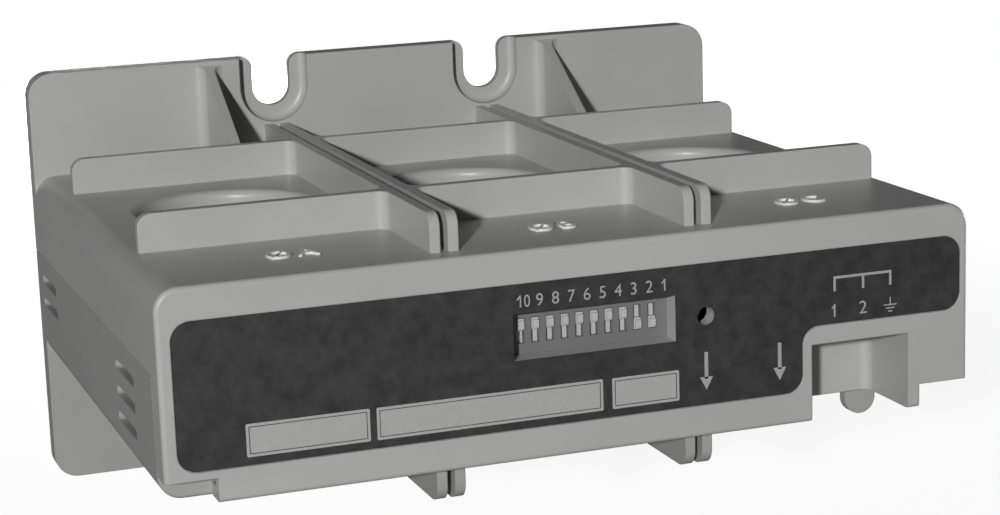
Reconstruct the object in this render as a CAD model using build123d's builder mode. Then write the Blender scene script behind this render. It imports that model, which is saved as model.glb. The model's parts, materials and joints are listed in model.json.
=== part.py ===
"""Three-pole energy monitor: a split housing with three cable windows, flange mounted on a panel.

Millimetres. X is the width, Y runs from the label face back to the panel, Z is up. The origin is the
centre of the flange's flat back face, so the label face is at the lowest Y.
"""
from build123d import *
import os

os.makedirs("parts", exist_ok=True)

# Outer shell
body_width = 139.2
body_height = 34.6
overall_depth = 111.2
shell_wall = 2.2
corner_radius = 3.8
front_edge_radius = 0.8
seam_height = 20.0
seam_chamfer = 0.35
lip_depth = 5.0
sill_height = 5.0
overrun = 5.0

# Mounting flange, its open slots and the webs that stiffen it
flange_thickness = 4.4
flange_rise = 19.6
flange_drop = 25.0
flange_corner_radius = 4.5
slot_width = 7.6
slot_inset = 6.0
slot_mouth_radius = 2.2
washer_recess_width = 13.6
washer_recess_depth = 2.6
web_slot_gap = 5.25
web_thickness = 1.8
web_clearance_below_top = 0.8
web_root_radius = 2.0
washer_recess_radius = 1.3

# Poles: one cable window each
side_clearance = 2.3
window_rim_radius = 1.4
lower_rim_chamfer = 1.0
tube_wall = 1.5

# Insulating partitions above the body, and the feet that mirror them below
partition_height = 6.4
partition_thickness = 1.9
front_partition_depth = 27.2
window_back_gap = 9.8
partition_end_inset = 3.6
partition_end_radius = 2.4
partition_root_radius = 2.0
slit_width = 1.3
barrier_thickness = 1.75
barrier_front_depth = 4.5
foot_height = 6.9
foot_front_depth = 5.5
foot_front_radius = 3.0

# Label pocket and the film in it
label_left_margin = 2.2
label_right_margin = 1.4
label_bottom = 5.3
label_top_margin = 5.4
label_recess_margin = 1.6
label_step_height = 16.3
label_corner_radius = 3.2
label_pocket_depth = 0.4
label_thickness = 0.25
label_fit = 0.1

# Switch bank behind its window
switch_recess_gap = 24.45
switch_label_gap = 8.7
switch_window_width = 28.1
switch_window_height = 7.7
switch_window_collar = 1.2
switch_face_depth = 4.0
switch_body_width = 29.6
switch_body_height = 9.9
switch_body_thickness = 5.1
switch_count = 10
switch_pitch = 2.54
switch_face_thickness = 0.8
slider_slot_width = 1.44
slider_slot_height = 4.2
slider_bay_height = 8.8
slider_bay_depth = 1.8
slider_width = 1.2
slider_plate_height = 6.4
slider_plate_thickness = 1.6
slider_height = 1.9
slider_tip_height = 1.3
slider_tip_width = 1.0
slider_tip_proud = 0.5
slider_clearance = 0.12

# Status light
light_switch_gap = 5.35
light_drop = 0.2
light_hole_radius = 1.55
light_collar_wall = 1.0
light_collar_depth = 3.4
light_radius = 1.45
light_rim_radius = 1.9
light_rim_thickness = 1.0
light_tip_depth = 4.1

# Wiring recess at the front's lower right
recess_width = 18.1
recess_side_margin = 11.3
recess_height = 13.2
recess_depth = 14.3
recess_wall = 2.1
recess_corner_radius = 1.8
corner_notch_left = 8.4
corner_notch_height = 4.0
corner_notch_depth = 12.0

# Wiring connector in the roof of the recess
connector_pitch = 5.08
connector_ways = 3
connector_length = 16.0
connector_front_depth = 3.0
connector_width = 8.6
connector_lift = 0.5
connector_wall = 1.2
connector_roof = 1.6
pin_size = 1.0
pin_inset = 1.3
pin_tail = 3.0

# Tie lug below the recess
lug_inset = 0.3
lug_radius = 2.9
lug_drop = 5.0
lug_thickness = 2.0

# Side louvres
louvre_length = 14.5
louvre_slot_height = 1.7
louvre_top_height = 15.4
louvre_pitch = 4.4
front_louvre_depth = 20.0
front_louvre_count = 3
back_louvre_margin = 1.3
back_louvre_count = 2

# Screws that hold the two shells together
screw_side_inset = 6.0
screw_front_depth = 24.0
screw_back_inset = 9.8
boss_radius = 3.3
screw_radius = 1.4
screw_head_radius = 2.8
screw_head_height = 1.9
screw_length = 24.0
screw_head_recess = 2.1
boss_pad_height = 4.4

# Circuit boards
board_thickness = 1.6
front_board_side_margin = 7.6
front_board_recess_margin = 4.2
front_board_bottom = 5.6
front_board_headroom = 1.2
main_board_side_margin = 11.6
main_board_headroom = 5.2
main_board_back_depth = 37.4
board_gap = 0.3
board_corner_radius = 1.5
board_post_radius = 2.6
board_post_inset = 5.0
board_post_front_depth = 20.0
board_post_back_depth = 33.4
standoff_inset = 5.0
small_screw_radius = 1.2
small_screw_head_radius = 2.2
small_screw_head_height = 1.3
small_screw_length = 6.0

# Current sensors around the windows
sensor_clearance = 0.3
sensor_ring_width = 4.1
sensor_gap = 0.9
sensor_copper = 1.0
sensor_board_gap = 1.2
sensor_seat_thickness = 1.0
lead_radius = 0.6
lead_spacing = 4.0
lead_rise = 2.4
lead_inset = 1.4
lead_clearance = 2.0
lead_board_inset = 2.4

# Parts on the boards
link_length = 30.0
link_width = 2.6
link_height = 2.6
link_x = -8.0
transformer_post_gap = 4.4
transformer_depth = 25.0
core_width = 24.0
core_height = 16.0
core_stack = 10.0
core_leg = 4.0
core_centre_leg = 8.0
coil_overhang = 4.0
coil_clearance = 0.2
capacitor_radius = 5.0
capacitor_height = 14.0
capacitor_gap = 7.0
capacitor_spacing = 11.0
capacitor_depth = 24.0
capacitor_edge = 0.5
meter_chip_size = 10.0
meter_chip_thickness = 1.4
meter_chip_x = 14.0
comms_chip_length = 7.5
comms_chip_width = 5.2
comms_chip_thickness = 1.5
comms_chip_post_gap = 9.0
chip_depth = 24.0
chip_chamfer = 0.3

# Places that follow from the sizes above
half_width = body_width / 2
body_depth = overall_depth - flange_thickness
sensor_outer_radius = (half_width - shell_wall - side_clearance - sensor_gap) / 3
pole_pitch = 2 * sensor_outer_radius + sensor_gap
window_depth = main_board_back_depth + sensor_board_gap + sensor_outer_radius
window_radius = sensor_outer_radius - sensor_ring_width - sensor_clearance - tube_wall
back_partition_depth = window_depth + window_radius + window_back_gap
web_x = pole_pitch / 2 + washer_recess_width / 2 + web_slot_gap + web_thickness / 2
rear_bay = body_depth - back_partition_depth - partition_thickness
partition_fillet = min(partition_root_radius, rear_bay / 2)
web_fillet = min(web_root_radius, rear_bay / 2)
recess_right = half_width - recess_side_margin
recess_left = recess_right - recess_width
label_left = half_width - label_left_margin
label_right = half_width - label_right_margin
label_step_x = recess_left - label_recess_margin
switch_centre_x = recess_left - switch_recess_gap - switch_window_width / 2
light_x = switch_centre_x + switch_window_width / 2 + light_switch_gap
label_top = body_height - label_top_margin
switch_centre_height = label_top - switch_label_gap
light_height = switch_centre_height - light_drop
front_board_top = body_height - shell_wall - front_board_headroom
lead_landing_depth = main_board_back_depth - lead_board_inset
lug_x = recess_right - lug_inset
back_louvre_depth = body_depth - louvre_length - back_louvre_margin
screw_x = half_width - screw_side_inset
screw_back_depth = body_depth - screw_back_inset
front_board_left = half_width - front_board_side_margin
front_board_right = recess_left - front_board_recess_margin
main_board_half_length = half_width - main_board_side_margin
board_post_x = main_board_half_length - board_post_inset
transformer_x = -board_post_x + board_post_radius + transformer_post_gap + core_width / 2
capacitor_first_x = transformer_x + core_width / 2 + capacitor_gap + capacitor_radius
comms_chip_x = board_post_x - comms_chip_post_gap
flange_top = (flange_rise + body_height + flange_drop) / 2
flange_bottom = -flange_top
body_top = flange_top - flange_rise
body_bottom = body_top - body_height
body_middle = (body_top + body_bottom) / 2
seam = body_bottom + seam_height
front = -overall_depth
floor_top = body_bottom + shell_wall
roof_under = body_top - shell_wall
window_y = front + window_depth
tube_radius = window_radius + tube_wall
pole_places = [-pole_pitch, 0, pole_pitch]
gap_places = [-pole_pitch / 2, pole_pitch / 2]
partition_end = half_width - partition_end_inset
main_board_height = body_height - shell_wall - main_board_headroom - board_thickness
main_board_bottom = body_bottom + main_board_height
board_face_depth = switch_face_depth + switch_body_thickness
pole_names = ["left", "middle", "right"]


def behind(distance):
    """The upright plane this far behind the label face: X across, Z up, positive extrusion forward."""
    return Plane.XZ.offset(overall_depth - distance)


def level(height):
    """The flat plane this far above the body's bottom."""
    return Plane.XY.offset(body_bottom + height)


def across(x):
    """The upright plane at this X: Y along, Z up, positive extrusion towards +X."""
    return Plane.YZ.offset(x)


def box_sketch(low_x, low_y, high_x, high_y):
    """A rectangle from its two corners, for the sketch in progress."""
    with Locations(((low_x + high_x) / 2, (low_y + high_y) / 2)):
        Rectangle(high_x - low_x, high_y - low_y)


def label_outline(grow, radius):
    """The label's stepped outline with rounded corners, grown on every side."""
    left = -label_left - grow
    right = label_right + grow
    low = body_bottom + label_bottom - grow
    high = body_bottom + label_top + grow
    step_low = body_bottom + label_step_height - grow
    step_x = label_step_x + grow
    with BuildLine() as outline:
        Polyline((left, low), (step_x, low), (step_x, step_low), (right, step_low),
                 (right, high), (left, high), close=True)
    make_face(outline.line)
    fillet(vertices(), radius)


def open_slot(x, width, mouth_radius, up):
    """A slot that runs out of the flange's edge, round at its closed end; up is 1 at the top edge."""
    edge = up * flange_top
    centre = edge - up * slot_inset
    far = edge + up * overrun
    half = width / 2
    with BuildLine() as outline:
        Line((x - half, far), (x - half, centre))
        ThreePointArc((x - half, centre), (x, centre - up * half), (x + half, centre))
        Line((x + half, centre), (x + half, far))
        Line((x + half, far), (x - half, far))
    make_face(outline.line)
    for side in (-1, 1):
        if mouth_radius > 0:
            corner = x + side * half
            rounded = corner + side * mouth_radius
            with BuildLine() as mouth:
                Line((corner, edge), (corner, edge - up * mouth_radius))
                TangentArc((corner, edge - up * mouth_radius), (rounded, edge), tangent=(0, up))
                Line((rounded, edge), (corner, edge))
            make_face(mouth.line)


def flange_web(x, up):
    """The three-cornered web between the flange and the body, above (up 1) or below (up -1)."""
    base = body_top if up > 0 else body_bottom
    reach = partition_height if up > 0 else foot_height
    tip = up * (flange_top - web_clearance_below_top)
    foot_y = front + back_partition_depth + partition_thickness
    with BuildSketch(across(x - web_thickness / 2)) as web:
        with BuildLine() as outline:
            Polyline((-flange_thickness, base), (-flange_thickness, tip), (foot_y, base + up * reach),
                     (foot_y, base), close=True)
        make_face(outline.line)
    extrude(web.sketch, amount=web_thickness)


def pole_walls(left, right, base, height):
    """The U, or the closed frame at the middle pole, of barriers and partitions on one pole."""
    with BuildSketch(Plane.XY.offset(base)) as walls:
        for depth in (front_partition_depth, back_partition_depth):
            box_sketch(left, front + depth, right, front + depth + partition_thickness)
        if left > -partition_end:
            box_sketch(left, front + barrier_front_depth, left + barrier_thickness, -flange_thickness)
        if right < partition_end:
            box_sketch(right - barrier_thickness, front + barrier_front_depth, right, -flange_thickness)
        inner_x = [left + barrier_thickness, right - barrier_thickness]
        partition_y = []
        for depth in (front_partition_depth, back_partition_depth):
            partition_y += [front + depth, front + depth + partition_thickness]
        corners = [v for v in vertices()
                   if min(abs(v.X - x) for x in inner_x) < slit_width / 2
                   and min(abs(v.Y - y) for y in partition_y) < slit_width / 2]
        fillet(corners, partition_fillet)
    extrude(walls.sketch, amount=height)


# Upper shell: roof, front face, partitions, cable tubes and the upper half of the flange
with BuildPart() as upper_housing:
    with BuildSketch(behind(body_depth)):
        box_sketch(-half_width, seam, half_width, body_top)
        fillet(vertices().group_by(Axis.Y)[-1], corner_radius)
    extrude(amount=body_depth)
    with BuildSketch(behind(lip_depth)):
        with Locations((0, body_middle)):
            RectangleRounded(body_width, body_height, corner_radius)
    extrude(amount=lip_depth)
    fillet(faces().sort_by(Axis.Y)[0].outer_wire().edges(), front_edge_radius)
    with BuildSketch(behind(body_depth)):
        box_sketch(-half_width + shell_wall, seam - overrun, half_width - shell_wall, roof_under)
        fillet(vertices().group_by(Axis.Y)[-1], corner_radius - shell_wall)
    extrude(amount=body_depth - lip_depth, mode=Mode.SUBTRACT)
    with BuildSketch(behind(lip_depth)):
        with Locations((0, body_middle)):
            RectangleRounded(body_width - 2 * shell_wall, body_height - 2 * shell_wall,
                             corner_radius - shell_wall)
    extrude(amount=lip_depth - shell_wall, mode=Mode.SUBTRACT)

    # Upper half of the flange
    with BuildSketch(behind(overall_depth)):
        box_sketch(-half_width, seam, half_width, flange_top)
        fillet(vertices().group_by(Axis.Y)[-1], flange_corner_radius)
    extrude(amount=flange_thickness)

    # Cable tubes, then the windows through them and the roof
    with BuildSketch(level(shell_wall)):
        with Locations([(x, window_y) for x in pole_places]):
            Circle(tube_radius)
    extrude(amount=body_height - shell_wall)
    with BuildSketch(level(0)):
        with Locations([(x, window_y) for x in pole_places]):
            Circle(window_radius)
    extrude(amount=body_height + overrun, mode=Mode.SUBTRACT)
    rims = edges().filter_by(GeomType.CIRCLE).filter_by(lambda e: abs(e.radius - window_radius) < tube_wall / 4)
    fillet(rims.group_by(Axis.Z)[-1], window_rim_radius)

    # Partitions: a U open to the side on the outer poles, a closed frame on the middle one
    pole_walls(-partition_end, gap_places[0] - slit_width / 2, body_top, partition_height)
    pole_walls(gap_places[0] + slit_width / 2, gap_places[1] - slit_width / 2, body_top, partition_height)
    pole_walls(gap_places[1] + slit_width / 2, partition_end, body_top, partition_height)
    top_edges = edges().filter_by(lambda e: abs(e.center().Z - body_top - partition_height) < slit_width / 4)
    nose = top_edges.filter_by(Axis.X).filter_by(
        lambda e: e.center().Y < front + barrier_front_depth + slit_width / 2)
    ends = top_edges.filter_by(Axis.Y).filter_by(lambda e: abs(e.center().X) > partition_end - slit_width / 2)
    fillet(nose + ends, partition_end_radius)

    # Webs, slots and washer recesses of the upper flange
    for side in (-1, 1):
        flange_web(side * web_x, 1)
    web_roots = edges().filter_by(Axis.Z).filter_by(
        lambda e: abs(e.center().Y + flange_thickness) < board_gap
        and abs(abs(e.center().X) - web_x) < web_thickness)
    fillet(web_roots, web_fillet)
    for x in gap_places:
        with BuildSketch(behind(body_depth + washer_recess_depth)):
            open_slot(x, washer_recess_width, 0, 1)
        extrude(amount=washer_recess_depth, mode=Mode.SUBTRACT)
    washer_floor = edges().filter_by(
        lambda e: abs(e.center().Y + flange_thickness - washer_recess_depth) < board_gap
        and e.center().Z < flange_top - board_gap)
    fillet(washer_floor, washer_recess_radius)
    for x in gap_places:
        with BuildSketch(behind(overall_depth)):
            open_slot(x, slot_width, slot_mouth_radius, 1)
        extrude(amount=flange_thickness, mode=Mode.SUBTRACT)

    # Collars round the switch window and the status light
    with BuildSketch(behind(switch_face_depth)):
        with Locations((switch_centre_x, body_bottom + switch_centre_height)):
            Rectangle(switch_window_width + 2 * switch_window_collar,
                      switch_window_height + 2 * switch_window_collar)
    extrude(amount=switch_face_depth - shell_wall)
    with BuildSketch(behind(light_collar_depth)):
        with Locations((light_x, body_bottom + light_height)):
            Circle(light_hole_radius + light_collar_wall)
    extrude(amount=light_collar_depth - shell_wall)
    with BuildSketch(behind(switch_face_depth)):
        with Locations((switch_centre_x, body_bottom + switch_centre_height)):
            Rectangle(switch_window_width, switch_window_height)
        with Locations((light_x, body_bottom + light_height)):
            Circle(light_hole_radius)
    extrude(amount=switch_face_depth, mode=Mode.SUBTRACT)
    with BuildSketch(behind(label_pocket_depth)):
        label_outline(0, label_corner_radius)
    extrude(amount=label_pocket_depth, mode=Mode.SUBTRACT)

    # Wiring recess: a box behind the front face, open to the front and below
    with BuildSketch(behind(recess_depth + recess_wall)):
        box_sketch(recess_left - recess_wall, body_bottom, recess_right + recess_wall,
                   body_bottom + recess_height + recess_wall)
    extrude(amount=recess_depth + recess_wall - shell_wall)
    with BuildSketch(behind(recess_depth)):
        box_sketch(recess_left, body_bottom - overrun, recess_right, body_bottom + recess_height)
    extrude(amount=recess_depth + overrun, mode=Mode.SUBTRACT)
    recess_back = edges().filter_by(Axis.Z).filter_by(
        lambda e: abs(e.center().Y - front - recess_depth) < board_gap
        and recess_left - board_gap < e.center().X < recess_right + board_gap)
    fillet(recess_back, recess_corner_radius)
    connector_left = (recess_left + recess_right - connector_length) / 2
    connector_back = connector_front_depth + connector_width
    with BuildSketch(level(recess_height - overrun)):
        box_sketch(connector_left - board_gap, front + connector_front_depth - board_gap,
                   connector_left + connector_length + board_gap, front + connector_back + board_gap)
    extrude(amount=recess_wall + 2 * overrun, mode=Mode.SUBTRACT)

    # Corner notches in the front lip
    with BuildSketch(behind(lip_depth)):
        box_sketch(-half_width - overrun, body_bottom - overrun, -half_width + corner_notch_left,
                   body_bottom + corner_notch_height)
        box_sketch(recess_right + recess_wall, body_bottom - overrun, half_width + overrun,
                   body_bottom + corner_notch_height)
    extrude(amount=lip_depth + overrun, mode=Mode.SUBTRACT)

    # Screw bosses under the roof and standoffs behind the front face
    screw_places = []
    for x in (-screw_x, screw_x):
        for depth in (screw_front_depth, screw_back_depth):
            screw_places.append((x, front + depth))
    with BuildSketch(level(boss_pad_height)):
        with Locations(screw_places):
            Circle(boss_radius)
    extrude(amount=body_height - shell_wall - boss_pad_height)
    with BuildSketch(level(boss_pad_height)):
        with Locations(screw_places):
            Circle(screw_radius)
    extrude(amount=screw_length, mode=Mode.SUBTRACT)
    standoff_places = []
    for x in (-front_board_left + standoff_inset, front_board_right - standoff_inset):
        for height in (front_board_bottom + standoff_inset, main_board_height - standoff_inset):
            standoff_places.append((x, body_bottom + height))
    with BuildSketch(behind(board_face_depth)):
        with Locations(standoff_places):
            Circle(board_post_radius)
    extrude(amount=board_face_depth - shell_wall)
    with BuildSketch(behind(board_face_depth)):
        with Locations(standoff_places):
            Circle(small_screw_radius)
    extrude(amount=small_screw_length - board_thickness, mode=Mode.SUBTRACT)
upper_housing.part.label = "upper_housing"
export_step(upper_housing.part, "parts/upper_housing.step")

# Lower shell: tray, louvred sides, feet and the lower half of the flange
with BuildPart() as lower_housing:
    with BuildSketch(behind(body_depth)):
        box_sketch(-half_width, body_bottom, half_width, seam)
        fillet(vertices().group_by(Axis.Y)[0], corner_radius)
    extrude(amount=body_depth - lip_depth)
    with BuildSketch(behind(body_depth)):
        box_sketch(-half_width + shell_wall, floor_top, half_width - shell_wall, seam + overrun)
        fillet(vertices().group_by(Axis.Y)[0], corner_radius - shell_wall)
    extrude(amount=body_depth - lip_depth - shell_wall, mode=Mode.SUBTRACT)
    with BuildSketch(behind(lip_depth + shell_wall)):
        box_sketch(-half_width + shell_wall, body_bottom + sill_height, half_width - shell_wall,
                   seam + overrun)
    extrude(amount=shell_wall + overrun, mode=Mode.SUBTRACT)
    with BuildSketch(behind(overall_depth)):
        box_sketch(-half_width, flange_bottom, half_width, seam)
        fillet(vertices().group_by(Axis.Y)[0], flange_corner_radius)
    extrude(amount=flange_thickness)

    # Bevel that shows the seam on both sides
    seam_edges = edges().filter_by(Axis.Y).filter_by(
        lambda e: abs(e.center().Z - seam) < board_gap and abs(e.center().X) > half_width - board_gap)
    lip_edges = edges().filter_by(Axis.Z).filter_by(
        lambda e: abs(e.center().Y - front - lip_depth) < board_gap and abs(e.center().X) > half_width - board_gap)
    chamfer(seam_edges + lip_edges, seam_chamfer)

    # Windows through the floor
    with BuildSketch(level(0)):
        with Locations([(x, window_y) for x in pole_places]):
            Circle(window_radius)
    extrude(amount=shell_wall, mode=Mode.SUBTRACT)
    rims = edges().filter_by(GeomType.CIRCLE).filter_by(lambda e: abs(e.radius - window_radius) < tube_wall / 4)
    chamfer(rims.group_by(Axis.Z)[0], lower_rim_chamfer)

    # Feet: the barriers' twins below the body, with rounded noses
    for gap in gap_places:
        for side in (-1, 1):
            near = gap + side * slit_width / 2
            start = min(near, near + side * barrier_thickness)
            with BuildSketch(across(start)):
                box_sketch(front + foot_front_depth, body_bottom - foot_height, -flange_thickness,
                           body_bottom)
                fillet(vertices().group_by(Axis.Y)[0].sort_by(Axis.X)[0], foot_front_radius)
            extrude(amount=barrier_thickness)

    # Webs, slots and washer recesses of the lower flange
    for side in (-1, 1):
        flange_web(side * web_x, -1)
    for x in gap_places:
        with BuildSketch(behind(body_depth + washer_recess_depth)):
            open_slot(x, washer_recess_width, 0, -1)
        extrude(amount=washer_recess_depth, mode=Mode.SUBTRACT)
        with BuildSketch(behind(overall_depth)):
            open_slot(x, slot_width, slot_mouth_radius, -1)
        extrude(amount=flange_thickness, mode=Mode.SUBTRACT)

    # Louvres through both sides
    louvre_places = []
    for index in range(front_louvre_count):
        louvre_places.append((front + front_louvre_depth + louvre_length / 2,
                              body_bottom + louvre_top_height - index * louvre_pitch))
    for index in range(back_louvre_count):
        louvre_places.append((front + back_louvre_depth + louvre_length / 2,
                              body_bottom + louvre_top_height - index * louvre_pitch))
    with BuildSketch(across(-half_width - overrun)):
        with Locations(louvre_places):
            SlotOverall(louvre_length, louvre_slot_height)
    extrude(amount=body_width + 2 * overrun, mode=Mode.SUBTRACT)

    # Room for the wiring recess, and the cut corner beside it
    with BuildSketch(level(0)):
        box_sketch(recess_left - recess_wall - board_gap, front, recess_right + recess_wall + board_gap,
                   front + recess_depth + recess_wall + board_gap)
    extrude(amount=seam_height, mode=Mode.SUBTRACT)
    with BuildSketch(level(0)):
        box_sketch(recess_right, front, half_width + overrun, front + corner_notch_depth)
    extrude(amount=corner_notch_height, mode=Mode.SUBTRACT)

    # Pads for the shell screws, with counterbores from below
    with BuildSketch(level(shell_wall)):
        with Locations(screw_places):
            Circle(boss_radius)
    extrude(amount=boss_pad_height - shell_wall)
    with Locations(Location((0, 0, body_bottom), (180, 0, 0))):
        with Locations([(x, -y) for x, y in screw_places]):
            CounterBoreHole(screw_radius, screw_head_radius + board_gap, screw_head_recess, boss_pad_height)

    # Posts under the main board
    post_places = []
    for x in (-board_post_x, board_post_x):
        for depth in (board_post_front_depth, board_post_back_depth):
            post_places.append((x, front + depth))
    with BuildSketch(level(shell_wall)):
        with Locations(post_places):
            Circle(board_post_radius)
    extrude(amount=main_board_height - shell_wall)
    with BuildSketch(level(main_board_height)):
        with Locations(post_places):
            Circle(small_screw_radius)
    extrude(amount=board_thickness - small_screw_length, mode=Mode.SUBTRACT)

    # Half-round tie lug behind the recess
    lug_front = recess_depth + recess_wall + board_gap
    with BuildSketch(behind(lug_front + lug_thickness)):
        with BuildLine():
            Polyline((lug_x + lug_radius, body_bottom - lug_drop + lug_radius),
                     (lug_x + lug_radius, floor_top), (lug_x - lug_radius, floor_top),
                     (lug_x - lug_radius, body_bottom - lug_drop + lug_radius))
            ThreePointArc((lug_x - lug_radius, body_bottom - lug_drop + lug_radius),
                          (lug_x, body_bottom - lug_drop),
                          (lug_x + lug_radius, body_bottom - lug_drop + lug_radius))
        make_face()
    extrude(amount=lug_thickness)
lower_housing.part.label = "lower_housing"
export_step(lower_housing.part, "parts/lower_housing.step")

# Printed label film in its pocket
with BuildPart() as front_label:
    with BuildSketch(behind(label_pocket_depth)):
        label_outline(-label_fit, label_corner_radius - label_fit)
        with Locations((switch_centre_x, body_bottom + switch_centre_height)):
            Rectangle(switch_window_width, switch_window_height, mode=Mode.SUBTRACT)
        with Locations((light_x, body_bottom + light_height)):
            Circle(light_hole_radius, mode=Mode.SUBTRACT)
    extrude(amount=label_thickness)
front_label.part.label = "front_label"
export_step(front_label.part, "parts/front_label.step")

# Switch bank: one body with a slot for each slider
switch_z = body_bottom + switch_centre_height
slider_places = []
for index in range(switch_count):
    slider_places.append(switch_centre_x + ((switch_count - 1) / 2 - index) * switch_pitch)
with BuildPart() as switch_body:
    with BuildSketch(behind(board_face_depth)):
        with Locations((switch_centre_x, switch_z)):
            Rectangle(switch_body_width, switch_body_height)
    extrude(amount=switch_body_thickness)
    with BuildSketch(behind(switch_face_depth + switch_face_thickness)):
        with Locations([(x, switch_z) for x in slider_places]):
            Rectangle(slider_slot_width, slider_slot_height)
    extrude(amount=switch_face_thickness, mode=Mode.SUBTRACT)
    with BuildSketch(behind(switch_face_depth + switch_face_thickness + slider_bay_depth)):
        with Locations([(x, switch_z) for x in slider_places]):
            Rectangle(slider_slot_width, slider_bay_height)
    extrude(amount=slider_bay_depth, mode=Mode.SUBTRACT)
switch_body.part.label = "switch_body"
export_step(switch_body.part, "parts/switch_body.step")

# Sliders, numbered from the right; the two on the right stand low, the rest high
slider_travel = slider_slot_height - slider_height - 2 * slider_clearance
low_sliders = 2
slider_plate_front = switch_face_depth + switch_face_thickness + slider_clearance
for index, x in enumerate(slider_places):
    rest = -slider_travel / 2 if index < low_sliders else slider_travel / 2
    with BuildPart() as switch_slider:
        with BuildSketch(behind(slider_plate_front + slider_plate_thickness)):
            with Locations((x, switch_z + rest)):
                Rectangle(slider_width, slider_plate_height)
        extrude(amount=slider_plate_thickness)
        with BuildSketch(behind(slider_plate_front)):
            with Locations((x, switch_z + rest)):
                Rectangle(slider_width, slider_height)
        extrude(amount=slider_plate_front - switch_face_depth)
        with BuildSketch(behind(switch_face_depth)):
            with Locations((x, switch_z + rest)):
                Rectangle(slider_tip_width, slider_tip_height)
        extrude(amount=slider_tip_proud)
    switch_slider.part.label = f"switch_slider_{index + 1}"
    export_step(switch_slider.part, f"parts/switch_slider_{index + 1}.step")

# Status light: a round-nosed lens with its rim against the board
light_z = body_bottom + light_height
light_length = board_face_depth - light_tip_depth
with BuildPart() as status_light:
    with BuildSketch(Plane.YZ.offset(light_x)):
        with BuildLine():
            Polyline((front + board_face_depth, light_z), (front + board_face_depth, light_z + light_rim_radius),
                     (front + board_face_depth - light_rim_thickness, light_z + light_rim_radius),
                     (front + board_face_depth - light_rim_thickness, light_z + light_radius),
                     (front + light_tip_depth + light_radius, light_z + light_radius))
            RadiusArc((front + light_tip_depth + light_radius, light_z + light_radius),
                      (front + light_tip_depth, light_z), -light_radius)
            Line((front + light_tip_depth, light_z), (front + board_face_depth, light_z))
        make_face()
    revolve(axis=Axis((light_x, 0, light_z), (0, 1, 0)))
status_light.part.label = "status_light"
export_step(status_light.part, "parts/status_light.step")

# Front board, upright behind the label face
with BuildPart() as front_board:
    with BuildSketch(behind(board_face_depth + board_thickness)):
        box_sketch(-front_board_left, body_bottom + front_board_bottom, front_board_right,
                   body_bottom + front_board_top)
        fillet(vertices(), board_corner_radius)
        with Locations(standoff_places):
            Circle(small_screw_radius, mode=Mode.SUBTRACT)
    extrude(amount=board_thickness)
front_board.part.label = "front_board"
export_step(front_board.part, "parts/front_board.step")

# Main board, flat on its posts, with an ear that reaches over the wiring recess
main_board_front = board_face_depth + board_thickness + board_gap
pin_places = []
for way in range(connector_ways):
    pin_x = (recess_left + recess_right) / 2 + (way - (connector_ways - 1) / 2) * connector_pitch
    pin_places.append((pin_x, front + connector_front_depth + connector_width / 2))
with BuildPart() as main_board:
    with BuildSketch(level(main_board_height)):
        box_sketch(-main_board_half_length, front + main_board_front, main_board_half_length,
                   front + main_board_back_depth)
        box_sketch(connector_left, front + connector_front_depth, connector_left + connector_length,
                   front + main_board_front)
        with Locations(post_places):
            Circle(small_screw_radius, mode=Mode.SUBTRACT)
        with Locations(pin_places):
            Rectangle(pin_size, pin_size, mode=Mode.SUBTRACT)
    extrude(amount=board_thickness)
main_board.part.label = "main_board"
export_step(main_board.part, "parts/main_board.step")

# Link strip between the two boards
with BuildPart() as board_link:
    with BuildSketch(level(main_board_height)):
        link_front = front + board_face_depth + board_thickness
        box_sketch(link_x - link_length / 2, link_front, link_x + link_length / 2, link_front + link_width)
    extrude(amount=-link_height)
board_link.part.label = "board_link"
export_step(board_link.part, "parts/board_link.step")

# Wiring connector: a shroud open downwards, and its pins
connector_height = main_board_height - recess_height - connector_lift
pin_length = connector_height - connector_roof - pin_inset
with BuildPart() as wiring_connector:
    with BuildSketch(level(main_board_height)):
        box_sketch(connector_left, front + connector_front_depth, connector_left + connector_length,
                   front + connector_back)
    extrude(amount=-connector_height)
    with BuildSketch(level(main_board_height - connector_roof)):
        box_sketch(connector_left + connector_wall, front + connector_front_depth + connector_wall,
                   connector_left + connector_length - connector_wall, front + connector_back - connector_wall)
    extrude(amount=-connector_height, mode=Mode.SUBTRACT)
    with BuildSketch(level(main_board_height)):
        with Locations(pin_places):
            Rectangle(pin_size, pin_size)
    extrude(amount=-connector_roof, mode=Mode.SUBTRACT)
wiring_connector.part.label = "wiring_connector"
export_step(wiring_connector.part, "parts/wiring_connector.step")

with BuildPart() as wiring_pins:
    with BuildSketch(level(main_board_height + pin_tail)):
        with Locations(pin_places):
            Rectangle(pin_size, pin_size)
    extrude(amount=-pin_tail - connector_roof - pin_length)
wiring_pins.part.label = "wiring_pins"
export_step(wiring_pins.part, "parts/wiring_pins.step")

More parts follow.
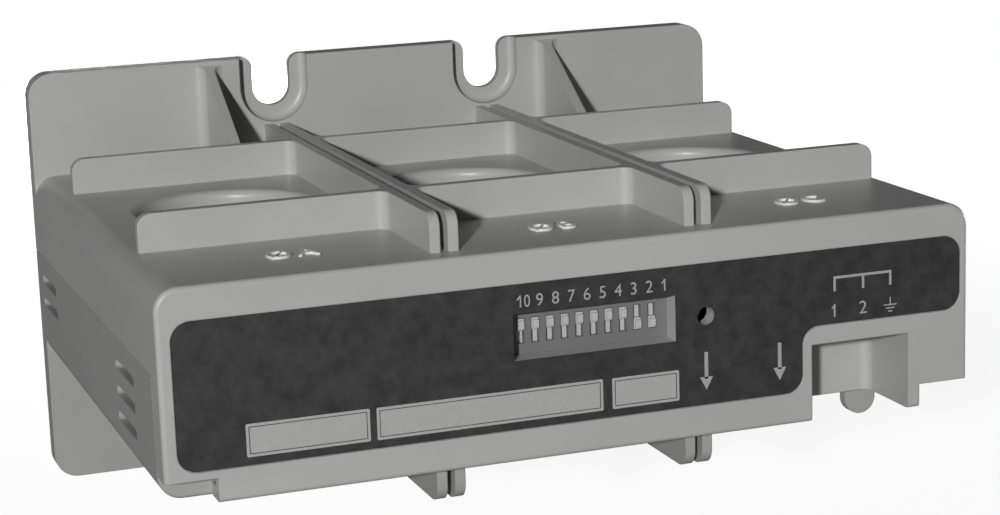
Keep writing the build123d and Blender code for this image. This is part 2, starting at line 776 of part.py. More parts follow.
# Current sensors: seat, core, winding and leads round each window
sensor_inner = tube_radius + sensor_clearance
seat_top = shell_wall + sensor_seat_thickness
sensor_height = main_board_height - seat_top - lead_rise - lead_clearance
for name, x in zip(pole_names, pole_places):
    with BuildPart() as sensor_seat:
        with BuildSketch(level(shell_wall)):
            with Locations((x, window_y)):
                Circle(sensor_outer_radius)
                Circle(sensor_inner, mode=Mode.SUBTRACT)
        extrude(amount=sensor_seat_thickness)
    sensor_seat.part.label = f"sensor_seat_{name}"
    export_step(sensor_seat.part, f"parts/sensor_seat_{name}.step")

    with BuildPart() as sensor_core:
        with BuildSketch(level(seat_top)):
            with Locations((x, window_y)):
                Circle(sensor_outer_radius - sensor_copper)
                Circle(sensor_inner + sensor_copper, mode=Mode.SUBTRACT)
        extrude(amount=sensor_height - sensor_copper)
    sensor_core.part.label = f"sensor_core_{name}"
    export_step(sensor_core.part, f"parts/sensor_core_{name}.step")

    with BuildPart() as sensor_winding:
        with BuildSketch(level(seat_top)):
            with Locations((x, window_y)):
                Circle(sensor_outer_radius)
                Circle(sensor_inner, mode=Mode.SUBTRACT)
        extrude(amount=sensor_height)
        with BuildSketch(level(seat_top)):
            with Locations((x, window_y)):
                Circle(sensor_outer_radius - sensor_copper)
                Circle(sensor_inner + sensor_copper, mode=Mode.SUBTRACT)
        extrude(amount=sensor_height - sensor_copper, mode=Mode.SUBTRACT)
    sensor_winding.part.label = f"sensor_winding_{name}"
    export_step(sensor_winding.part, f"parts/sensor_winding_{name}.step")

    lead_foot = window_y - sensor_outer_radius + lead_inset
    lead_low = body_bottom + seat_top + sensor_height
    with BuildPart() as sensor_leads:
        for side in (-1, 1):
            lead_x = x + side * lead_spacing / 2
            with BuildLine():
                Polyline((lead_x, lead_foot, lead_low), (lead_x, lead_foot, lead_low + lead_rise),
                         (lead_x, front + lead_landing_depth, lead_low + lead_rise),
                         (lead_x, front + lead_landing_depth, main_board_bottom))
            with BuildSketch(Plane.XY.offset(lead_low)):
                with Locations((lead_x, lead_foot)):
                    Circle(lead_radius)
            sweep(transition=Transition.RIGHT)
    sensor_leads.part.label = f"sensor_leads_{name}"
    export_step(sensor_leads.part, f"parts/sensor_leads_{name}.step")

# Supply transformer under the main board
transformer_y = front + transformer_depth
core_middle = main_board_bottom - core_height / 2
core_window_width = (core_width - 2 * core_leg - core_centre_leg) / 2
core_window_height = core_height - 2 * core_leg
core_window_x = (core_centre_leg + core_window_width) / 2
with BuildPart() as transformer_core:
    with BuildSketch(Plane.XZ.offset(-transformer_y)):
        with Locations((transformer_x, core_middle)):
            Rectangle(core_width, core_height)
        with Locations((transformer_x - core_window_x, core_middle), (transformer_x + core_window_x, core_middle)):
            Rectangle(core_window_width, core_window_height, mode=Mode.SUBTRACT)
    extrude(amount=core_stack / 2, both=True)
transformer_core.part.label = "transformer_core"
export_step(transformer_core.part, "parts/transformer_core.step")

with BuildPart() as transformer_coil:
    with BuildSketch(Plane.XY.offset(core_middle - core_window_height / 2 + coil_clearance)):
        with Locations((transformer_x, transformer_y)):
            Rectangle(core_width - 2 * core_leg - 2 * coil_clearance, core_stack + 2 * coil_overhang)
            fillet(vertices(), coil_overhang / 2)
            Rectangle(core_centre_leg + 2 * coil_clearance, core_stack + 2 * coil_clearance, mode=Mode.SUBTRACT)
    extrude(amount=core_window_height - 2 * coil_clearance)
transformer_coil.part.label = "transformer_coil"
export_step(transformer_coil.part, "parts/transformer_coil.step")

# Supply capacitors beside the transformer
with BuildPart() as supply_capacitors:
    with BuildSketch(level(main_board_height)):
        with Locations([(capacitor_first_x + index * capacitor_spacing, front + capacitor_depth)
                        for index in range(2)]):
            Circle(capacitor_radius)
    extrude(amount=-capacitor_height)
    chamfer(edges().group_by(Axis.Z)[0], capacitor_edge)
supply_capacitors.part.label = "supply_capacitors"
export_step(supply_capacitors.part, "parts/supply_capacitors.step")

# Chips on top of the main board
with BuildPart() as meter_chip:
    with BuildSketch(level(main_board_height + board_thickness)):
        with Locations((meter_chip_x, front + chip_depth)):
            Rectangle(meter_chip_size, meter_chip_size)
    extrude(amount=meter_chip_thickness)
    chamfer(edges().group_by(Axis.Z)[-1], chip_chamfer)
meter_chip.part.label = "meter_chip"
export_step(meter_chip.part, "parts/meter_chip.step")

with BuildPart() as comms_chip:
    with BuildSketch(level(main_board_height + board_thickness)):
        with Locations((comms_chip_x, front + chip_depth)):
            Rectangle(comms_chip_length, comms_chip_width)
    extrude(amount=comms_chip_thickness)
    chamfer(edges().group_by(Axis.Z)[-1], chip_chamfer)
comms_chip.part.label = "comms_chip"
export_step(comms_chip.part, "parts/comms_chip.step")

# Screws that close the shells, from below
with BuildPart() as shell_screws:
    with BuildSketch(level(screw_head_recess)):
        with Locations(screw_places):
            Circle(screw_head_radius)
    extrude(amount=-screw_head_height)
    with BuildSketch(level(screw_head_recess)):
        with Locations(screw_places):
            Circle(screw_radius)
    extrude(amount=screw_length)
shell_screws.part.label = "shell_screws"
export_step(shell_screws.part, "parts/shell_screws.step")

# Small screws that hold the boards
with BuildPart() as board_screws:
    with BuildSketch(level(main_board_height + board_thickness)):
        with Locations(post_places):
            Circle(small_screw_head_radius)
    extrude(amount=small_screw_head_height)
    with BuildSketch(level(main_board_height + board_thickness)):
        with Locations(post_places):
            Circle(small_screw_radius)
    extrude(amount=-small_screw_length)
    with BuildSketch(behind(board_face_depth + board_thickness)):
        with Locations(standoff_places):
            Circle(small_screw_head_radius)
    extrude(amount=-small_screw_head_height)
    with BuildSketch(behind(board_face_depth + board_thickness)):
        with Locations(standoff_places):
            Circle(small_screw_radius)
    extrude(amount=small_screw_length)
board_screws.part.label = "board_screws"
export_step(board_screws.part, "parts/board_screws.step")
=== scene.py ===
"""Energy monitor with three cable windows: finishes, print, screw faces, light and camera."""
import json
import math

import bmesh
import bpy
from mathutils import Matrix, Vector


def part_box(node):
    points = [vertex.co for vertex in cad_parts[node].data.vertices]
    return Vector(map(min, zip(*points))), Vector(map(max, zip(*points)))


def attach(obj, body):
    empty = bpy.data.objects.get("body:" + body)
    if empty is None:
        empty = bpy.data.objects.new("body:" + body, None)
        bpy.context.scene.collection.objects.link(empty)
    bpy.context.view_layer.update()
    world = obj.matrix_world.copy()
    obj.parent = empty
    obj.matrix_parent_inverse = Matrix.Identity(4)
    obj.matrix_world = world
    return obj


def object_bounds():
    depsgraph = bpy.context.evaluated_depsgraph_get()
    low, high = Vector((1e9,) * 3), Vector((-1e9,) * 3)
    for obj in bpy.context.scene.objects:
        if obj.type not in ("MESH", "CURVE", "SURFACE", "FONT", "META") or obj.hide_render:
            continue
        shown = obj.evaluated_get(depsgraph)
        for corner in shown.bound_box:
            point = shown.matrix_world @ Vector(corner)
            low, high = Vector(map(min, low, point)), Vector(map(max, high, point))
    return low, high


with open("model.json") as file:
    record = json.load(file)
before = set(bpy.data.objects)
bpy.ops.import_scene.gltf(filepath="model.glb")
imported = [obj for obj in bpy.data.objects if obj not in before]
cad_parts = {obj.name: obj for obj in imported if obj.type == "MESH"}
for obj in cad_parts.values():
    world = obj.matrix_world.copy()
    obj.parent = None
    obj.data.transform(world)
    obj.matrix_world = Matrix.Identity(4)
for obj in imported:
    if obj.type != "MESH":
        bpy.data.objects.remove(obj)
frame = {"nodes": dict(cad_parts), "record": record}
cad_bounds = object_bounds()
nodes = frame["nodes"]
MM = 0.001
ROOT = "housing"

# Camera, fitted to corners measured in the photograph
CAMERA_PLACE = Vector((-0.1394, -0.4648, 0.1000))
CAMERA_AIM = Vector((0.32623, 0.92154, -0.21057))
CAMERA_UP = Vector((0.1022, 0.1871, 0.9770))
CAMERA_LENS = 87.94
CAMERA_CLIP = 0.01
SENSOR_WIDTH = 36.0

# Places taken from the frame
label_low = Vector(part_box("front_label")[0])
switch_low, switch_high = (Vector(corner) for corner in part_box("switch_body"))
film_face = label_low.y
flange_edge = cad_bounds[0][2]

# Heights of the shells, in millimetres
BODY_BOTTOM = -14.6
ROOF = 20.0

# Ink on the label: its gap to the film, which keeps the two faces apart, and its thickness
PRINT_LIFT = 0.02 * MM
PRINT_THICKNESS = 0.03 * MM

WHITE = (1.0, 1.0, 1.0, 1.0)


# Building blocks of the finishes

def principled(name, color, roughness, metallic=0.0):
    """A new material with its shader node, ready for texture nodes."""
    material = bpy.data.materials.new(name)
    material.use_nodes = True
    material.diffuse_color = (*color, 1.0)
    tree = material.node_tree
    shader = tree.nodes["Principled BSDF"]
    shader.inputs["Base Color"].default_value = (*color, 1.0)
    shader.inputs["Roughness"].default_value = roughness
    shader.inputs["Metallic"].default_value = metallic
    return material, tree, shader


def object_noise(tree, scale, detail, roughness, stretch=(1, 1, 1)):
    """Noise in object space, so that it sits still on the piece and keeps its real scale."""
    coordinates = tree.nodes.new("ShaderNodeTexCoord")
    mapping = tree.nodes.new("ShaderNodeMapping")
    mapping.inputs["Scale"].default_value = stretch
    noise = tree.nodes.new("ShaderNodeTexNoise")
    noise.inputs["Scale"].default_value = scale
    noise.inputs["Detail"].default_value = detail
    noise.inputs["Roughness"].default_value = roughness
    tree.links.new(coordinates.outputs["Object"], mapping.inputs["Vector"])
    tree.links.new(mapping.outputs["Vector"], noise.inputs["Vector"])
    return noise.outputs["Fac"]


def ramp_color(tree, factor, low, high, start=0.35, end=0.65):
    """Two colours spread over a noise value."""
    ramp = tree.nodes.new("ShaderNodeValToRGB")
    ramp.color_ramp.elements[0].position = start
    ramp.color_ramp.elements[0].color = (*low, 1.0)
    ramp.color_ramp.elements[1].position = end
    ramp.color_ramp.elements[1].color = (*high, 1.0)
    tree.links.new(factor, ramp.inputs["Fac"])
    return ramp.outputs["Color"]


def ramp_value(tree, factor, low, high, start=0.35, end=0.65):
    """A value spread over a noise value or a distance."""
    spread = tree.nodes.new("ShaderNodeMapRange")
    spread.inputs["From Min"].default_value = start
    spread.inputs["From Max"].default_value = end
    spread.inputs["To Min"].default_value = low
    spread.inputs["To Max"].default_value = high
    tree.links.new(factor, spread.inputs["Value"])
    return spread.outputs["Result"]


def bump(tree, shader, height, distance, strength, edge_radius=0.0):
    """Surface grain, over edges that are softened by edge_radius."""
    relief = tree.nodes.new("ShaderNodeBump")
    relief.inputs["Distance"].default_value = distance
    relief.inputs["Strength"].default_value = strength
    tree.links.new(height, relief.inputs["Height"])
    if edge_radius > 0:
        soft = tree.nodes.new("ShaderNodeBevel")
        soft.samples = 4
        soft.inputs["Radius"].default_value = edge_radius
        tree.links.new(soft.outputs["Normal"], relief.inputs["Normal"])
    tree.links.new(relief.outputs["Normal"], shader.inputs["Normal"])


# Kinds of finish

FLOW_SCALE = 28.0
GRAIN_DEPTH = 0.03 * MM
GLOSS_SWING = 0.07


def moulded_plastic(name, color, roughness, spread=0.04, grain_scale=2600.0, grain=0.25,
                    edge=0.35 * MM):
    """Moulded plastic: spark-eroded grain, faint flow marks and slightly uneven gloss."""
    material, tree, shader = principled(name, color, roughness)
    flow = object_noise(tree, FLOW_SCALE, detail=3.0, roughness=0.6)
    low = [max(0.0, channel * (1 - spread)) for channel in color]
    high = [min(1.0, channel * (1 + spread)) for channel in color]
    tree.links.new(ramp_color(tree, flow, low, high), shader.inputs["Base Color"])
    texture = object_noise(tree, grain_scale, detail=2.0, roughness=0.55)
    gloss = ramp_value(tree, texture, roughness - GLOSS_SWING, roughness + GLOSS_SWING)
    tree.links.new(gloss, shader.inputs["Roughness"])
    bump(tree, shader, texture, GRAIN_DEPTH, grain, edge)
    return material


def printed_ink(name, color):
    """Screen-printed ink with slightly uneven cover."""
    material, tree, shader = principled(name, color, roughness=0.5)
    cover = object_noise(tree, scale=1500.0, detail=3.0, roughness=0.6)
    thin = [channel * 0.93 for channel in color]
    tree.links.new(ramp_color(tree, cover, thin, color), shader.inputs["Base Color"])
    bump(tree, shader, cover, distance=0.01 * MM, strength=0.1)
    return material


def printed_film(name, color, dark, light):
    """Matt label film, mottled between dark and light."""
    material, tree, shader = principled(name, color, roughness=0.5)
    cloud = object_noise(tree, scale=420.0, detail=4.0, roughness=0.65)
    mottle = ramp_color(tree, cloud, dark, light, start=0.3, end=0.7)
    tree.links.new(mottle, shader.inputs["Base Color"])
    grain = object_noise(tree, scale=3800.0, detail=2.0, roughness=0.5)
    tree.links.new(ramp_value(tree, grain, 0.42, 0.58), shader.inputs["Roughness"])
    bump(tree, shader, grain, distance=0.015 * MM, strength=0.35)
    return material


def metal(name, color, roughness, stretch=(1, 1, 12)):
    """Drawn or turned metal with fine lines."""
    material, tree, shader = principled(name, color, roughness, metallic=1.0)
    lines = object_noise(tree, scale=1800.0, detail=3.0, roughness=0.6, stretch=stretch)
    gloss = ramp_value(tree, lines, roughness - 0.08, roughness + 0.12)
    tree.links.new(gloss, shader.inputs["Roughness"])
    dull = [channel * 0.85 for channel in color]
    tree.links.new(ramp_color(tree, lines, dull, color), shader.inputs["Base Color"])
    bump(tree, shader, lines, distance=0.02 * MM, strength=0.2)
    return material


def banded(name, base, other, scale, roughness, metallic):
    """Laid turns or laminations: regular bands with relief, stacked upward."""
    material, tree, shader = principled(name, base, roughness, metallic)
    coordinates = tree.nodes.new("ShaderNodeTexCoord")
    wave = tree.nodes.new("ShaderNodeTexWave")
    wave.wave_type = "BANDS"
    wave.bands_direction = "Z"
    wave.inputs["Scale"].default_value = scale
    wave.inputs["Distortion"].default_value = 0.4
    wave.inputs["Detail"].default_value = 1.0
    tree.links.new(coordinates.outputs["Object"], wave.inputs["Vector"])
    bands = ramp_color(tree, wave.outputs["Fac"], base, other, start=0.2, end=0.8)
    tree.links.new(bands, shader.inputs["Base Color"])
    bump(tree, shader, wave.outputs["Fac"], distance=0.1 * MM, strength=0.6)
    return material


def hazy_lens(name, color):
    """Hazy plastic that lets some light through."""
    material, tree, shader = principled(name, color, roughness=0.16)
    shader.inputs["IOR"].default_value = 1.5
    shader.inputs["Transmission Weight"].default_value = 0.35
    haze = object_noise(tree, scale=1800.0, detail=2.0, roughness=0.5)
    tree.links.new(ramp_value(tree, haze, 0.12, 0.22), shader.inputs["Roughness"])
    return material


# The finishes, and the node or slot that each belongs to

housing_grey = moulded_plastic("housing_grey", (0.47, 0.47, 0.465), 0.37)
# The housing's plastic made darker for the tray, as painted shade on the lower shell's sides
# and flange
tray_grey_painted_shade = moulded_plastic("tray_grey_painted_shade", (0.39, 0.39, 0.386), 0.40)
film = printed_film("label_film", (0.030, 0.030, 0.032), dark=(0.026, 0.026, 0.028),
                    light=(0.052, 0.052, 0.054))
ink = printed_ink("label_ink", (0.42, 0.42, 0.41))
field_ink = printed_ink("field_ink", (0.46, 0.46, 0.45))
shelf_ink = printed_ink("shelf_ink", (0.80, 0.80, 0.78))
switch_grey = moulded_plastic("switch_grey", (0.19, 0.19, 0.195), 0.4, grain_scale=5000.0,
                              grain=0.1, edge=0.12 * MM)
slider_white = moulded_plastic("slider_white", (0.54, 0.54, 0.52), 0.4, grain_scale=5000.0,
                               grain=0.1, edge=0.1 * MM)
board_green = moulded_plastic("board_green", (0.012, 0.07, 0.026), 0.35, spread=0.3, grain=0.05,
                              edge=0.0)
moulding_black = moulded_plastic("moulding_black", (0.02, 0.02, 0.022), 0.5, edge=0.1 * MM)
moulding_green = moulded_plastic("moulding_green", (0.03, 0.16, 0.06), 0.45, edge=0.15 * MM)
tape_yellow = moulded_plastic("tape_yellow", (0.55, 0.38, 0.05), 0.55, spread=0.12, grain=0.3,
                              edge=0.0)
lead_white = moulded_plastic("lead_white", (0.55, 0.55, 0.52), 0.5, grain=0.1, edge=0.0)
sleeve_blue = moulded_plastic("sleeve_blue", (0.03, 0.05, 0.14), 0.35, grain=0.05, edge=0.0)
core_steel = banded("core_steel", (0.30, 0.30, 0.31), (0.12, 0.12, 0.125), scale=100.0,
                    roughness=0.45, metallic=1.0)
copper_wire = banded("copper_wire", (0.62, 0.22, 0.08), (0.30, 0.09, 0.03), scale=80.0,
                     roughness=0.35, metallic=0.6)
tin = metal("tin", (0.75, 0.75, 0.72), 0.3)
zinc = metal("zinc", (0.55, 0.56, 0.57), 0.35, stretch=(1, 1, 1))
lens = hazy_lens("lens", (0.30, 0.30, 0.29))

finish_of_slot = {
    "housing": housing_grey,
    "label": film,
    "switch": switch_grey,
    "slider": slider_white,
    "lens": lens,
    "board": board_green,
    "moulding_black": moulding_black,
    "moulding_green": moulding_green,
    "pin_metal": tin,
    "tape": tape_yellow,
    "core_steel": core_steel,
    "winding": copper_wire,
    "lead": lead_white,
    "can": sleeve_blue,
    "screw_steel": zinc,
}
finish_of_node = {"lower_housing": tray_grey_painted_shade}  # the tray has the roof's plastic painted darker: painted shade for the lower shell
for entry in frame["record"]["subparts"]:
    node = entry["node"]
    materials = nodes[node].data.materials
    materials.clear()
    materials.append(finish_of_node.get(node, finish_of_slot[entry["material_slot"]]))


# Shapes of the print and of the screw faces

UPRIGHT = (math.radians(90), 0, 0)
FACE_UP = (0, 0, 0)
CORNER_STEPS = 4
SIZE_PER_CAPITAL = 1.37  # the font's size over the height of its capitals and digits


def add_piece(name, data, material, place=(0, 0, 0), turn=(0, 0, 0), width=1.0):
    """Put a new piece in the scene, with its finish and on its body."""
    piece = bpy.data.objects.new(name, data)
    bpy.context.scene.collection.objects.link(piece)
    piece.rotation_euler = turn
    piece.scale = (width, 1, 1)
    piece.location = place
    data.materials.append(material)
    bpy.context.view_layer.update()
    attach(piece, ROOT)


def on_film(x, z, face=film_face):
    """A place on the label: x and the height over the body's bottom, in millimetres."""
    return (x * MM, face - PRINT_LIFT, (BODY_BOTTOM + z) * MM)


def plate(name, outlines, material, face=film_face):
    """Flat printed shapes on the label: each outline is a list of (x, z) for on_film."""
    shapes = bmesh.new()
    for outline in outlines:
        shapes.faces.new([shapes.verts.new(on_film(x, z, face)) for x, z in outline])
    solid = bmesh.ops.extrude_face_region(shapes, geom=shapes.faces[:])
    moved = [item for item in solid["geom"] if isinstance(item, bmesh.types.BMVert)]
    bmesh.ops.translate(shapes, verts=moved, vec=(0, -PRINT_THICKNESS, 0))
    bmesh.ops.recalc_face_normals(shapes, faces=shapes.faces[:])
    mesh = bpy.data.meshes.new(name)
    shapes.to_mesh(mesh)
    shapes.free()
    add_piece(name, mesh, material)


def rectangle(x0, z0, x1, z1, radius=0.0):
    """A rectangle's outline, with rounded corners if a radius is given."""
    if radius <= 0:
        return [(x0, z0), (x1, z0), (x1, z1), (x0, z1)]
    points = []
    corners = ((x1 - radius, z0 + radius, -90), (x1 - radius, z1 - radius, 0),
               (x0 + radius, z1 - radius, 90), (x0 + radius, z0 + radius, 180))
    for centre_x, centre_z, start in corners:
        for step in range(CORNER_STEPS + 1):
            angle = math.radians(start + 90 * step / CORNER_STEPS)
            points.append((centre_x + radius * math.cos(angle),
                           centre_z + radius * math.sin(angle)))
    return points


def lettering(name, words, place, height, material, turn=UPRIGHT,
              squeeze=1.0, weight=0.0, thickness=PRINT_THICKNESS, word_gap=1.0):
    """Printed or raised digits or letters, centred at place."""
    curve = bpy.data.curves.new(name, "FONT")
    curve.body = words
    curve.size = height * SIZE_PER_CAPITAL
    curve.align_x = "CENTER"
    curve.align_y = "CENTER"
    curve.extrude = thickness / 2
    curve.offset = weight
    curve.space_word = word_gap
    curve.resolution_u = 6
    add_piece(name, curve, material, place, turn, squeeze)


# Print on the label. Its sizes are in millimetres, and heights count from the body's bottom.
# Three pale fields (left, bottom, right, top), each with a fine keyline
FIELDS = ((-56.5, 6.7, -36.6, 12.0), (-35.5, 6.7, 2.7, 11.95), (4.3, 6.7, 16.1, 11.85))
FIELD_RADIUS = 0.25
KEYLINE_INSET = 0.45
KEYLINE_WIDTH = 0.12
plate("label_fields", [rectangle(*field, radius=FIELD_RADIUS) for field in FIELDS], field_ink)
for number, (left, bottom, right, top) in enumerate(FIELDS, start=1):
    x0, z0 = left + KEYLINE_INSET, bottom + KEYLINE_INSET
    x1, z1 = right - KEYLINE_INSET, top - KEYLINE_INSET
    inner_z0, inner_z1 = z0 + KEYLINE_WIDTH, z1 - KEYLINE_WIDTH
    sides = [rectangle(x0, z0, x1, inner_z0), rectangle(x0, inner_z1, x1, z1),
             rectangle(x0, inner_z0, x0 + KEYLINE_WIDTH, inner_z1),
             rectangle(x1 - KEYLINE_WIDTH, inner_z0, x1, inner_z1)]
    plate(f"field_keyline_{number}", sides, film, face=film_face - PRINT_THICKNESS)

# Down arrows
ARROWS = (21.0, 34.3)
ARROW_TOP = 14.3
ARROW_TIP = 7.9
SHAFT_HALF = 0.32
HEAD_HALF = 1.15
HEAD_LENGTH = 2.2
HEAD_OVERLAP = 0.3
head_base = ARROW_TIP + HEAD_LENGTH
for number, x in enumerate(ARROWS, start=1):
    shaft = rectangle(x - SHAFT_HALF, head_base - HEAD_OVERLAP, x + SHAFT_HALF, ARROW_TOP)
    head = [(x - HEAD_HALF, head_base), (x, ARROW_TIP), (x + HEAD_HALF, head_base)]
    plate(f"arrow_{number}", [shaft, head], ink)

# Bracket over the terminal numbers
LEGS = (44.5, 49.8, 54.9)
LEG_BOTTOM = 21.9
BAR_BOTTOM = 24.0
LINE_HALF = 0.22
marks = [rectangle(LEGS[0] - LINE_HALF, BAR_BOTTOM, LEGS[2] + LINE_HALF,
                   BAR_BOTTOM + 2 * LINE_HALF)]
marks += [rectangle(x - LINE_HALF, LEG_BOTTOM, x + LINE_HALF, BAR_BOTTOM) for x in LEGS]
plate("terminal_bracket", marks, ink)

# Numbers under the first two legs
TERMINAL_HEIGHT = 18.5
TERMINAL_DIGIT = 2.3
for number, x in enumerate(LEGS[:2], start=1):
    lettering(f"terminal_number_{number}", str(number), on_film(x, TERMINAL_HEIGHT),
              TERMINAL_DIGIT * MM, ink)

# Symbol for the cable's screen under the third leg: a stem and three bars, wide to narrow
SCREEN_TOP = 18.6
STEM_TOP = 19.8
BARS = (1.2, 0.8, 0.4)
BAR_STEP = 0.55
screen_x = LEGS[2]
screen = [rectangle(screen_x - LINE_HALF / 2, SCREEN_TOP, screen_x + LINE_HALF / 2, STEM_TOP)]
for step, half in enumerate(BARS):
    top = SCREEN_TOP - step * BAR_STEP
    screen.append(rectangle(screen_x - half, top - LINE_HALF, screen_x + half, top))
plate("terminal_screen_mark", screen, ink)

# Switch numbers over the sliders, counted from the right, as wide apart as in the photograph
SWITCHES = 10
NUMBER_PITCH = 2.70
NUMBER_HEIGHT = 26.2
SWITCH_DIGIT = 2.1
ONE_DIGIT_WIDTH = 0.95
TWO_DIGIT_WIDTH = 0.78
row_middle = (switch_low.x + switch_high.x) / 2 / MM
row_right = row_middle + (SWITCHES - 1) / 2 * NUMBER_PITCH
row_left = row_middle - (SWITCHES - 1) / 2 * NUMBER_PITCH
for number in range(1, SWITCHES + 1):
    lettering(f"switch_number_{number}", str(number),
              on_film(row_right - (number - 1) * NUMBER_PITCH, NUMBER_HEIGHT),
              SWITCH_DIGIT * MM, ink,
              squeeze=ONE_DIGIT_WIDTH if number < 10 else TWO_DIGIT_WIDTH)

# Flags on the ones, since the font's own one is a bare stroke
FLAG = ((-0.62, -0.62), (-0.42, -0.72), (0.05, -0.3), (0.05, 0.0), (-0.1, 0.0))
SWITCH_ONE_TOP = 27.24
TERMINAL_ONE_TOP = 19.64
TEN_SHIFT = 0.62  # the one of the ten stands this far left of the ten's middle
ones = ((row_right, SWITCH_ONE_TOP), (row_left - TEN_SHIFT, SWITCH_ONE_TOP),
        (LEGS[0], TERMINAL_ONE_TOP))
plate("number_flags", [[(x + dx, top + dz) for dx, dz in FLAG] for x, top in ones], ink)

# Pole marks, raised on the shelves in front of the windows: a slashed circle and a letter
POLES = {"A": -44.2, "B": 0.0, "C": 45.1}
SLASHED_CIRCLE = "\N{LATIN CAPITAL LETTER O WITH STROKE}"
POLE_DEPTH = -97.0
POLE_LETTER = 4.9
POLE_RISE = 0.4
for letter, x in POLES.items():
    place = (x * MM, POLE_DEPTH * MM, (ROOF + POLE_RISE / 2) * MM)
    lettering(f"pole_letter_{letter}", f"{SLASHED_CIRCLE} {letter}", place, POLE_LETTER * MM,
              shelf_ink, turn=FACE_UP, squeeze=0.80, weight=0.04 * MM,
              thickness=POLE_RISE * MM, word_gap=0.4)

# Faces of the four screws that close the shells, each with a cross cut out, seen from below.
# In millimetres; each face's middle lies SCREW_SETBACK above the body's bottom
SCREWS = ((-63.6, -87.2), (-63.6, -14.2), (63.6, -87.2), (63.6, -14.2))
SCREW_RADIUS = 2.8
SCREW_SIDES = 40
SCREW_SETBACK = 0.12
FACE_HALF = 0.07
REACH = 1.5
ARM = 0.42
cross = [(-ARM, -REACH), (ARM, -REACH), (ARM, -ARM), (REACH, -ARM), (REACH, ARM), (ARM, ARM),
         (ARM, REACH), (-ARM, REACH), (-ARM, ARM), (-REACH, ARM), (-REACH, -ARM), (-ARM, -ARM)]
angles = [math.tau * step / SCREW_SIDES for step in range(SCREW_SIDES)]
disc = [(SCREW_RADIUS * math.cos(angle), SCREW_RADIUS * math.sin(angle)) for angle in angles]
for number, (x, y) in enumerate(SCREWS, start=1):
    curve = bpy.data.curves.new(f"screw_face_{number}", "CURVE")
    curve.dimensions = "2D"
    curve.fill_mode = "BOTH"
    curve.extrude = FACE_HALF * MM
    for outline in (disc, cross):
        spline = curve.splines.new("POLY")
        spline.points.add(len(outline) - 1)
        for point, (u, v) in zip(spline.points, outline):
            point.co = ((x + u) * MM, (y + v) * MM, 0, 1)
        spline.use_cyclic_u = True
    add_piece(f"screw_face_{number}", curve, zinc,
              place=(0, 0, (BODY_BOTTOM + SCREW_SETBACK) * MM))

# Camera
camera_data = bpy.data.cameras.new("camera")
camera_data.lens = CAMERA_LENS
camera_data.sensor_width = SENSOR_WIDTH
camera_data.sensor_fit = "HORIZONTAL"
camera_data.clip_start = CAMERA_CLIP
camera = bpy.data.objects.new("camera", camera_data)
bpy.context.scene.collection.objects.link(camera)
backward = -CAMERA_AIM.normalized()
sideways = CAMERA_UP.cross(backward).normalized()
upward = backward.cross(sideways).normalized()
axes = Matrix((sideways, upward, backward)).transposed()
camera.matrix_world = Matrix.Translation(CAMERA_PLACE) @ axes.to_4x4()
bpy.context.scene.camera = camera


# Studio, in metres

FLOOR_DROP = 0.05
FLOOR_REACH = 6.0
FLOOR_COLOR = (0.32, 0.32, 0.32)
GLOW = (0.83, 1.0)  # near the object and far from it
GLOW_SPREAD = (0.25, 1.2)  # the distances of near and far
WORLD_FILL = 0.04
WORLD_WHITE = 1.0


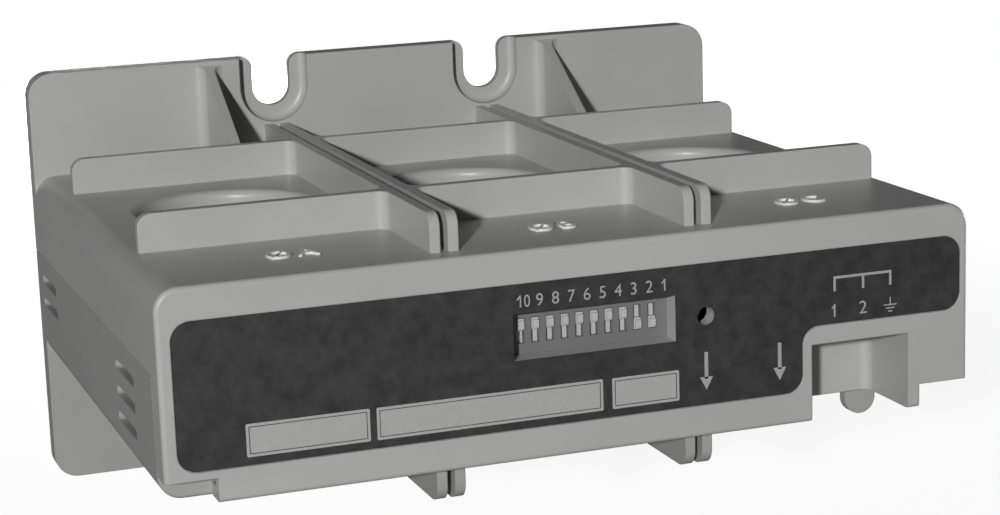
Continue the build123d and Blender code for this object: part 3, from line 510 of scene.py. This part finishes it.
def floor_finish():
    """Pale and matt. It glows for the camera alone, and more so where the lamps don't reach."""
    material, tree, shader = principled("floor_white", FLOOR_COLOR, roughness=0.9)
    paths = tree.nodes.new("ShaderNodeLightPath")
    glow = tree.nodes.new("ShaderNodeEmission")
    glow.inputs["Color"].default_value = WHITE
    places = tree.nodes.new("ShaderNodeTexCoord")
    distance = tree.nodes.new("ShaderNodeVectorMath")
    distance.operation = "LENGTH"
    tree.links.new(places.outputs["Object"], distance.inputs[0])
    strength = ramp_value(tree, distance.outputs["Value"], *GLOW, *GLOW_SPREAD)
    tree.links.new(strength, glow.inputs["Strength"])
    seen = tree.nodes.new("ShaderNodeAddShader")
    choice = tree.nodes.new("ShaderNodeMixShader")
    tree.links.new(shader.outputs["BSDF"], seen.inputs[0])
    tree.links.new(glow.outputs["Emission"], seen.inputs[1])
    tree.links.new(paths.outputs["Is Camera Ray"], choice.inputs["Fac"])
    tree.links.new(shader.outputs["BSDF"], choice.inputs[1])
    tree.links.new(seen.outputs["Shader"], choice.inputs[2])
    tree.links.new(choice.outputs["Shader"], tree.nodes["Material Output"].inputs["Surface"])
    return material


def lamp(name, place, aim, size, power):
    """A square studio lamp."""
    data = bpy.data.lights.new(name, "AREA")
    data.shape = "SQUARE"
    data.size = size
    data.energy = power
    body = bpy.data.objects.new(name, data)
    bpy.context.scene.collection.objects.link(body)
    body.location = place
    body.rotation_euler = (Vector(aim) - Vector(place)).to_track_quat("-Z", "Y").to_euler()


# Floor, a little below the flange, for the object's shadow
floor_mesh = bpy.data.meshes.new("floor")
corners = [(x, y, flange_edge - FLOOR_DROP)
           for x, y in rectangle(-FLOOR_REACH, -FLOOR_REACH, FLOOR_REACH, FLOOR_REACH)]
floor_mesh.from_pydata(corners, [], [(0, 1, 2, 3)])
floor = bpy.data.objects.new("floor", floor_mesh)
bpy.context.scene.collection.objects.link(floor)
floor.data.materials.append(floor_finish())

# World: soft fill for the object, white where the camera looks past it
world = bpy.data.worlds.new("studio")
bpy.context.scene.world = world
world.use_nodes = True
tree = world.node_tree
tree.nodes.clear()
output = tree.nodes.new("ShaderNodeOutputWorld")
choice = tree.nodes.new("ShaderNodeMixShader")
paths = tree.nodes.new("ShaderNodeLightPath")
tree.links.new(paths.outputs["Is Camera Ray"], choice.inputs["Fac"])
for socket, strength in ((1, WORLD_FILL), (2, WORLD_WHITE)):
    background = tree.nodes.new("ShaderNodeBackground")
    background.inputs["Color"].default_value = WHITE
    background.inputs["Strength"].default_value = strength
    tree.links.new(background.outputs["Background"], choice.inputs[socket])
tree.links.new(choice.outputs["Shader"], output.inputs["Surface"])

lamp("key", place=(-0.78, -1.42, 0.42), aim=(0.0, -0.06, 0.0), size=0.07, power=19.3)
lamp("back", place=(0.12, 0.95, -0.01), aim=(0.0, 0.0, 0.0), size=0.15, power=4.0)
lamp("right", place=(0.95, 0.15, -0.01), aim=(0.0, -0.05, 0.0), size=0.15, power=4.5)

bpy.context.scene.view_settings.view_transform = "Standard"
